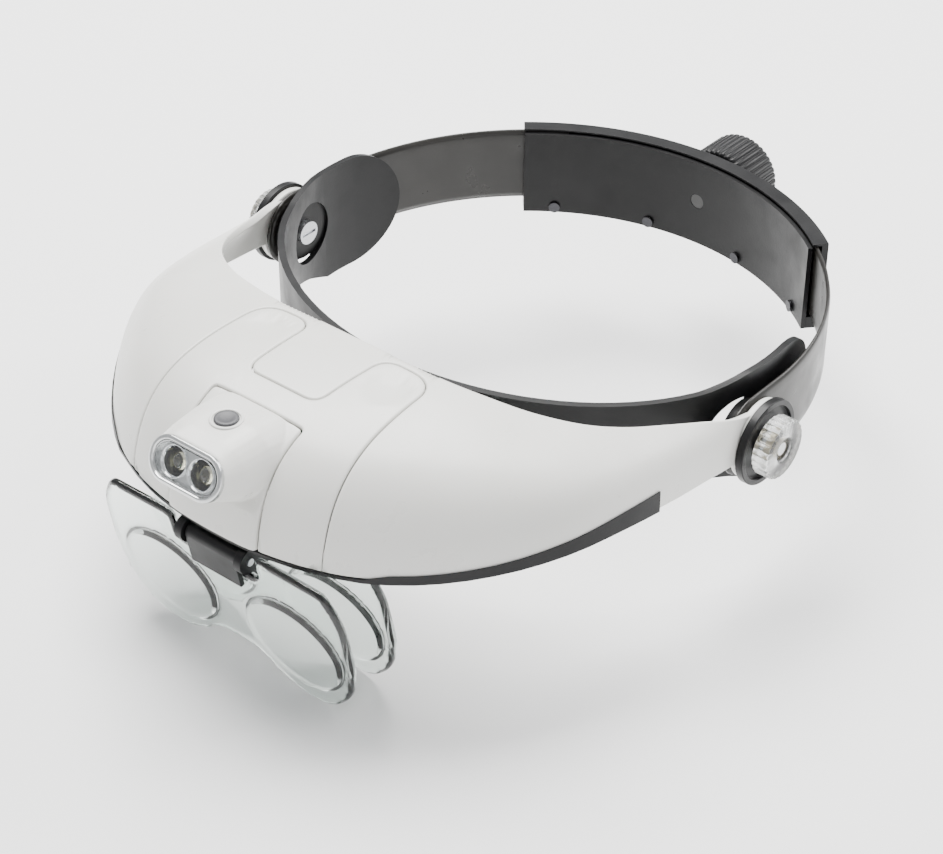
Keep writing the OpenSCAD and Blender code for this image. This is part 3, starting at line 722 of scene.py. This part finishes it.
def make_hood(visor):
    """The hood: a rounded body and a low front skirt grown out of the module's surface."""
    def skirt(p):
        low = min(max((13 - p.z) / 3, 0), 1)
        side = min(max((HOOD_HALF_W - SEAM - abs(p.x)) / 0.9, 0), 1)
        return 1.1 * low * side ** 0.5
    mesh = join_meshes("lamp_hood_form", [visor.solid("hood", PANEL_T, 0.3, lift=skirt)])
    piece = finish_piece("lamp_hood_form", mesh, "white_plastic", None)
    boolean(piece, hull_mesh("hood_body", hood_hull(0)), "UNION")
    remesh = piece.modifiers.new("remesh", "REMESH")
    remesh.mode = "VOXEL"
    remesh.voxel_size = 0.38 * MM
    apply_modifiers(piece)
    smooth = piece.modifiers.new("smooth", "SMOOTH")
    smooth.factor = 0.5
    smooth.iterations = 14
    apply_modifiers(piece)
    boolean(piece, hull_mesh("hood_hollow", hood_hull(1.5)), "DIFFERENCE")
    well = lathe([(0, 15), (3.9, 15), (3.9, 30), (0, 45)], 64, closed=False)
    well = placed(well, Matrix.Translation((0, BUTTON_Y, 0)))
    boolean(piece, join_meshes("button_well", [well]), "DIFFERENCE")
    finish = piece.data
    finish.polygons.foreach_set("use_smooth", [True] * len(finish.polygons))
    finish.materials.clear()
    finish.materials.append(MATERIALS["white_plastic"])
    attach(piece, "lamp_module")
    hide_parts("lamp_hood")
    return piece


def stadium_ring(half_w, r, section, axes, steps=22):
    """Sweeps a closed section of (outward, height) round a slot outline."""
    points, faces = [], []
    path = stadium(half_w, r, 0, steps)
    n, m = len(path), len(section)
    for i, (x, y, _) in enumerate(path):
        centre = Vector((math.copysign(half_w - r, x), 0)) if abs(x) > half_w - r - 1e-6 else Vector((x, 0))
        out = (Vector((x, y)) - centre).normalized()
        for a, b in section:
            points.append(axes @ Vector((x + out.x * a, y + out.y * a, b)))
    for i in range(n):
        for j in range(m):
            here, onward = i * m, ((i + 1) % n) * m
            faces.append((here + j, here + (j + 1) % m, onward + (j + 1) % m, onward + j))
    return points, faces


def make_lamp_face():
    axes = lamp_axes()
    ring = rounded_profile([(-1.95, -1.3), (-1.95, 0.5), (-1.5, 0.55), (-1.1, 1.4), (0.1, 1.1), (0.1, -1.4)],
                           [0.1, 0.15, 0.2, 0.55, 0.45, 0.1], 4)
    points, faces = stadium_ring(LAMP_HALF_W - 0.1, LAMP_R - 0.1, ring, axes)
    add_piece("lamp_bezel_form", points, faces, "bezel_chrome", "lamp_module", ("lamp_bezel",))
    slab = [axes @ Vector(p) for z in (0.0, 0.8) for p in stadium(LAMP_HALF_W - 2, LAMP_R - 2, z, 22)]
    n = len(slab) // 2
    faces = [list(range(n))[::-1], list(range(n, 2 * n))]
    faces += [(i, (i + 1) % n, n + (i + 1) % n, n + i) for i in range(n)]
    add_piece("lamp_window_form", slab, faces, "window_clear", "lamp_module", ("lamp_window",), smooth=False)
    cups = []
    for side in (-1, 1):
        at = axes @ Matrix.Translation((side * 5.1, 0, -8))
        profile = [(2.65, 0.9), (3.1, 2.2), (3.7, 4.2), (4.15, 6.3), (4.45, 7.7), (4.7, 7.75), (4.8, 7.5),
                   (4.45, 6.0), (3.9, 3.4), (3.2, 0.9)]
        cups.append(placed(lathe(profile, 64), at))
    mesh = join_meshes("reflectors_form", cups)
    finish_piece("reflectors_form", mesh, "reflector_mirror", "lamp_module", ("lamp_reflectors",))
    plate = [axes @ Vector(p) for p in stadium(LAMP_HALF_W - 2, LAMP_R - 2, -1.0, 22)]
    holes = []
    for side in (-1, 1):
        holes.append([axes @ Vector((side * 5.1 + 4.72 * math.cos(a), 4.72 * math.sin(a), -1.0))
                      for a in (2 * math.pi * k / 48 for k in range(48))])
    flat = [axes.inverted() @ p for p in plate] + [axes.inverted() @ p for hole in holes for p in hole]
    edges = [(i, (i + 1) % n) for i in range(n)]
    for h in range(2):
        base = n + 48 * h
        edges += [(base + i, base + (i + 1) % 48) for i in range(48)]
    made = delaunay_2d_cdt([Vector((p.x, p.y)) for p in flat], edges, [], 0, 1e-6)
    kept = []
    for face in made[2]:
        c = sum((made[0][i] for i in face), Vector((0, 0))) / 3
        clear_of_cups = all((c - Vector((side * 5.1, 0))).length > 4.68 for side in (-1, 1))
        if clear_of_cups and inside(c, stadium_outline()):
            kept.append(face)
    top = [axes @ Vector((p.x, p.y, -0.9)) for p in made[0]]
    low = [axes @ Vector((p.x, p.y, -1.3)) for p in made[0]]
    count = len(top)
    add_piece("reflector_plate", top + low, kept + [[count + i for i in reversed(f)] for f in kept],
              "bezel_chrome", "lamp_module", smooth=False)


def stadium_outline():
    return [(x, y) for x, y, _ in stadium(LAMP_HALF_W - 2, LAMP_R - 2, 0, 22)]


def make_button():
    top, base = 31.2, 26.3
    profile = [(0, base), (3.55, base), (3.6, base + 0.2), (3.6, top - 0.5), (3.5, top - 0.2),
               (3.2, top - 0.04), (2.6, top), (2.2, top - 0.12), (1.2, top - 0.28), (0, top - 0.32)]
    shape = placed(lathe(profile, 64, closed=False), Matrix.Translation((0, BUTTON_Y, 0)))
    add_piece("power_button_form", *shape, "button_plastic", "button", ("power_button",))
    corners = [(3.95, 29.4), (4.9, 29.6), (4.9, 30.75), (4.5, 30.95), (4.1, 30.85), (3.95, 30.6)]
    ring = rounded_profile(corners, 0.2, 3)
    shape = placed(lathe(ring, 72), Matrix.Translation((0, BUTTON_Y, 0)))
    add_piece("button_collar", *shape, "white_plastic", "lamp_module")


# ------------------------------------------------------------------ lens plates
PLATE_T = 2.4
LENS_X, LENS_H = 24.5, 26.0
LENS_A, LENS_B = 18.5, 17.5


def lobe_outline():
    """The plate's outline: two lobes, a shallow notch under the nose and a gap for the clip."""
    half = [(16, 5), (16, -4), (24, -4), (41.5, -3.6), (46.8, 6), (47.4, 24), (44, 38), (35, 47.5), (24, 49),
            (14.5, 44.5), (8, 39.5)]
    radii = [3, 3, 3, 5, 20, 26, 18, 14, 14, 12, 6]
    outline = half + [(-x, h) for x, h in reversed(half)]
    return resampled(rounded_profile(outline, radii + radii[::-1], 7), 1.0)


def lens_outline(side, grow):
    """A lens zone: round below, flatter towards the top rail."""
    made = []
    for k in range(72):
        a = 2 * math.pi * k / 72
        c, s = math.cos(a), math.sin(a)
        squash = 0.88 if s < 0 else 1.0
        made.append((side * (LENS_X + (LENS_A + grow) * c), LENS_H + (LENS_B * squash + grow) * s))
    return made if side > 0 else made[::-1]


def lens_height(x, h):
    """Half thickness of the plate at a point: flat, then a bevelled step and a dome."""
    best = PLATE_T / 2
    for side in (-1, 1):
        dx, dh = x - side * LENS_X, h - LENS_H
        squash = LENS_B * 0.88 if dh < 0 else LENS_B
        q = math.hypot(dx / LENS_A, dh / squash)
        if q < 1.0:
            rise = min((1 - q) * LENS_A / 1.5, 1.0)
            best = max(best, PLATE_T / 2 + 0.7 * rise + (0.1 * (1 - q * q) if q < 0.9 else 0))
    return best


def make_lens_plate(name, place, body, node):
    outline = lobe_outline()
    points, edges = [], []
    for offset in (0.0, 0.12, 0.3, 0.6, 1.0):
        run = offset_outline(outline, -offset if winding(outline) > 0 else offset)
        base = len(points)
        points += [Vector(p) for p in run]
        edges += [(base + i, base + (i + 1) % len(run)) for i in range(len(run))]
    for side in (-1, 1):
        for grow in (0.1, -0.15, -0.8, -1.5, -1.8):
            run = lens_outline(side, grow)
            base = len(points)
            points += [Vector(p) for p in run]
            edges += [(base + i, base + (i + 1) % len(run)) for i in range(len(run))]
    near = KDTree(len(points))
    for i, p in enumerate(points):
        near.insert((p.x, p.y, 0), i)
    near.balance()
    for i in range(-36, 37):
        for j in range(-3, 40):
            x, h = i * 1.3, j * 1.3
            if inside((x, h), outline) and near.find((x, h, 0))[2] > 0.7:
                points.append(Vector((x, h)))
    made = delaunay_2d_cdt(points, edges, [], 0, 1e-6)
    rim_tree = KDTree(len(outline) * 6)
    for i, p in enumerate(resampled(outline, 0.2)[:len(outline) * 6]):
        rim_tree.insert((*p, 0), i)
    rim_tree.balance()
    faces = [f for f in made[2] if inside(sum((made[0][i] for i in f), Vector((0, 0))) / len(f), outline)]
    axes = Matrix.Translation((0, place[0], place[1])) @ Matrix.Rotation(math.radians(-90 + 11), 4, "X")
    used = sorted({i for f in faces for i in f})
    index = {i: k for k, i in enumerate(used)}
    front, back = [], []
    for i in used:
        x, h = made[0][i]
        half = lens_height(x, h) - rim_drop(max(rim_tree.find((x, h, 0))[2] - 0.02, 0), 0.55)
        front.append(axes @ Vector((x, h, -half)))
        back.append(axes @ Vector((x, h, half)))
    count = len(front)
    top = [[index[i] for i in f] for f in faces]
    directed = {(a, b) for f in top for a, b in zip(f, f[1:] + f[:1])}
    walls = [[a, a + count, b + count, b] for a, b in directed if (b, a) not in directed]
    add_piece(name, front + back, top + [[count + i for i in reversed(f)] for f in top] + walls,
              "lens_acrylic", body, (node,))


def winding(outline):
    return sum(a[0] * b[1] - b[0] * a[1] for a, b in zip(outline, outline[1:] + outline[:1]))


# ------------------------------------------------------------------ knobs
def ribbed_knob(radius, length, ribs, depth, rim, recess_r, recess_d, bore):
    """A knob along +Z with rounded ribs, soft rims and a recess in its outer face."""
    profile = [(bore, 0), (radius - rim, 0), (radius - rim * 0.3, rim * 0.3), (radius, rim),
               (radius, length * 0.5), (radius, length - rim),
               (radius - rim * 0.3, length - rim * 0.3), (radius - rim, length),
               (recess_r + 0.5, length), (recess_r + 0.12, length - 0.12), (recess_r, length - 0.5),
               (recess_r, length - recess_d), (bore, length - recess_d)]

    def ribbed(r, z, a):
        if r < radius - rim * 0.99:
            return r
        share = min((r - (radius - rim)) / rim, 1)
        wave = abs(math.sin(a * ribs / 2)) ** 0.6
        return r - depth * share * (1 - wave)
    return lathe(profile, ribs * 10, ribbed)


def make_knobs():
    for side, name in ((1, "left"), (-1, "right")):
        shape = ribbed_knob(9.45, 5.4, 26, 0.65, 0.7, 3.8, 1.0, 2.15)
        mesh = join_meshes("knob", [placed(shape, side_axes(side, 97.9, PIVOT_Y, 0))])
        body = f"clamp_knob_{name[0]}"
        finish_piece(f"side_knob_{name}_form", mesh, "clear_knob", body, (f"side_knob_{name}",))
    low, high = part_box("rear_knob")
    centre_z = (low.z + high.z) / 2 / MM
    axes = Matrix.Translation((0, low.y / MM, centre_z)) @ Matrix.Rotation(-math.pi / 2, 4, "X")
    shape = ribbed_knob(13.95, (high.y - low.y) / MM, 40, 0.75, 1.1, 3.4, 4.3, 3.05)
    mesh = join_meshes("rear_knob_form", [placed(shape, axes)])
    finish_piece("rear_knob_form", mesh, "black_plastic", "size_knob", ("rear_knob",))


# ------------------------------------------------------------------ straps, band, pad, trim
STRAP_R = 90
STRAP_T = 1.5
FLEX_Y = -5


def strap_point(s, r):
    """A point at arc length s behind the flex line (before it the strap runs straight)."""
    if s < 0:
        return Vector((r, FLEX_Y + s, 0))
    a = s / STRAP_R
    return Vector((r * math.cos(a), FLEX_Y + r * math.sin(a), 0))


def make_strap(side, name):
    """The strap from its round end on the bolt to a little inside the housing, with soft edges.

    The rack bar beyond that is hidden and isn't made here."""
    half_h = 13.0
    pivot_s = PIVOT_Y - FLEX_Y
    end_s = 92.0
    outline = []
    for k in range(25):
        a = math.pi / 2 + math.pi * k / 24
        outline.append((pivot_s + half_h * math.cos(a), half_h * math.sin(a)))
    outline += [(end_s, -half_h), (end_s, half_h)]
    outline = resampled(outline, 1.6)
    rims = (0.0, 0.12, 0.35, 0.7)
    points, edges = [], []
    for offset in rims:
        run = offset_outline(outline, -offset if winding(outline) > 0 else offset)
        base = len(points)
        points += [Vector(p) for p in run]
        edges += [(base + i, base + (i + 1) % len(run)) for i in range(len(run))]
    for i in range(64):
        for j in range(-5, 6):
            p = Vector((-26 + i * 1.9, j * 2.2))
            if inside(p, outline) and min(abs(p.y + half_h), abs(half_h - p.y)) > 1.2:
                points.append(p)
    hole_r = 2.05
    turns = [2 * math.pi * k / 32 for k in range(32)]
    hole = [(pivot_s + hole_r * math.cos(a), hole_r * math.sin(a)) for a in turns]
    base = len(points)
    points += [Vector(p) for p in hole]
    edges += [(base + i, base + (i + 1) % 32) for i in range(32)]
    made = delaunay_2d_cdt(points, edges, [], 0, 1e-6)
    tree = KDTree(4000)
    for i, p in enumerate(resampled(outline, 0.3)[:4000]):
        tree.insert((*p, 0), i)
    tree.balance()
    faces = []
    for f in made[2]:
        c = sum((made[0][i] for i in f), Vector((0, 0))) / len(f)
        if inside(c, outline) and (c - Vector((pivot_s, 0))).length > 2.0:
            faces.append(f)
    used = sorted({i for f in faces for i in f})
    index = {i: k for k, i in enumerate(used)}
    inner, outer = [], []
    for i in used:
        s, z = made[0][i]
        drop = rim_drop(max(tree.find((s, z, 0))[2] - 0.02, 0), 0.5)
        for r, run in ((STRAP_R + drop * 0.9, inner), (STRAP_R + STRAP_T - drop * 0.9, outer)):
            p = strap_point(s, r)
            run.append(Vector((side * p.x, p.y, z)))
    count = len(inner)
    top = [[index[i] for i in f] for f in faces]
    directed = {(a, b) for f in top for a, b in zip(f, f[1:] + f[:1])}
    walls = [[a, a + count, b + count, b] for a, b in directed if (b, a) not in directed]
    points = inner + outer
    faces = top + [[count + i for i in reversed(f)] for f in top] + walls
    nodes = (f"strap_{name}", f"strap_tab_{name}")
    piece = add_piece(f"strap_{name}_form", points, faces, "strap_plastic", None, nodes)
    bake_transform(piece)


def make_pad():
    """The foam strip: a crowned section run along the inside of the forehead."""
    a, b = 85.6, 68.3
    section = rounded_profile([(0, -11), (-2.3, -10.5), (-2.9, -5), (-3, 0.5), (-2.9, 6), (-2.3, 11.5),
                               (0, 12)],
                              [0.3, 1.2, 4, 0, 4, 1.2, 0.3], 4)
    points, faces = [], []
    steps, m = 120, len(section)
    half = math.radians(42)
    for i in range(steps + 1):
        t = -math.pi / 2 - half + 2 * half * i / steps
        end = min(1, math.sqrt(max(0, 1 - (abs(2 * i / steps - 1)) ** 24)) + 0.12)
        x, y = a * math.cos(t), FLEX_Y + b * math.sin(t)
        n = Vector((math.cos(t) / a, math.sin(t) / b)).normalized()
        for out, z in section:
            puff = 0.12 * math.sin(x * 0.9 + z * 0.7) * math.sin(z * 0.5 + x * 0.3)
            o = (out - (puff if out < -1 else 0)) * end
            points.append((x + n.x * o, y + n.y * o, z * (0.9 + 0.1 * end)))
    for i in range(steps):
        for j in range(m):
            faces.append((i * m + j, i * m + (j + 1) % m, (i + 1) * m + (j + 1) % m, (i + 1) * m + j))
    faces += [list(range(m)), list(range(steps * m, (steps + 1) * m))[::-1]]
    piece = add_piece("forehead_pad_form", points, faces, "foam", "headband", ("forehead_pad",))


def make_cad_pieces():
    """CAD nodes whose shape is right: softened edges where they show, and a finish for each."""
    for node, width, slot, body in (
            ("forehead_band", 0.5, "black_plastic", "headband"),
            ("rear_cover_outer", 0.5, "black_plastic", "rear"),
            ("rear_cover_inner", 0.35, "black_plastic", "rear"),
            ("ear_cap_left", 0.3, "black_plastic", "visor"),
            ("ear_cap_right", 0.3, "black_plastic", "visor"),
            ("lens_bracket", 0.3, "black_plastic", "visor"),
            ("front_lens_clip", 0.35, "black_plastic", "front_lens"),
            ("rear_lens_clip", 0.35, "black_plastic", "rear_lens"),
            # visor_edge_trim: a black strip under the visor's front edge, partly a dark rim and partly
            # painted shade under the edge
            ("visor_edge_trim", 0.25, "black_plastic", "visor")):
        softened(node, width, slot, body)
    slots = {part["node"]: part["material_slot"] for part in frame["record"]["subparts"]}
    for name, node in NODES.items():
        node.data.materials.clear()
        node.data.materials.append(MATERIALS[slots[name]])


# ------------------------------------------------------------------ the scene
def make_floor():
    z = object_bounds()[0].z - 0.001
    bpy.ops.mesh.primitive_plane_add(size=8, location=(0, 0, z))
    floor = bpy.context.object
    floor.name = "floor"
    material, shader = new_material("floor", (0.93, 0.93, 0.93), 0.7)
    links = material.node_tree.links
    links.new(ramp(material, noise(material, 5), [(0.3, 0.92), (0.7, 0.94)]), shader.inputs["Base Color"])
    floor.data.materials.append(material)


make_camera()
make_lights()
MATERIALS = make_materials()
surface = VisorSkin()
make_visor(surface)
make_module(surface)
make_hood(surface)
make_lamp_face()
make_button()
make_lens_plate("front_lens_form", (-148, -8.5), "front_lens", "front_lens_plate")
make_lens_plate("rear_lens_form", (-131, -8.5), "rear_lens", "rear_lens_plate")
make_knobs()
make_strap(1, "left")
make_strap(-1, "right")
make_pad()
make_cad_pieces()
make_floor()
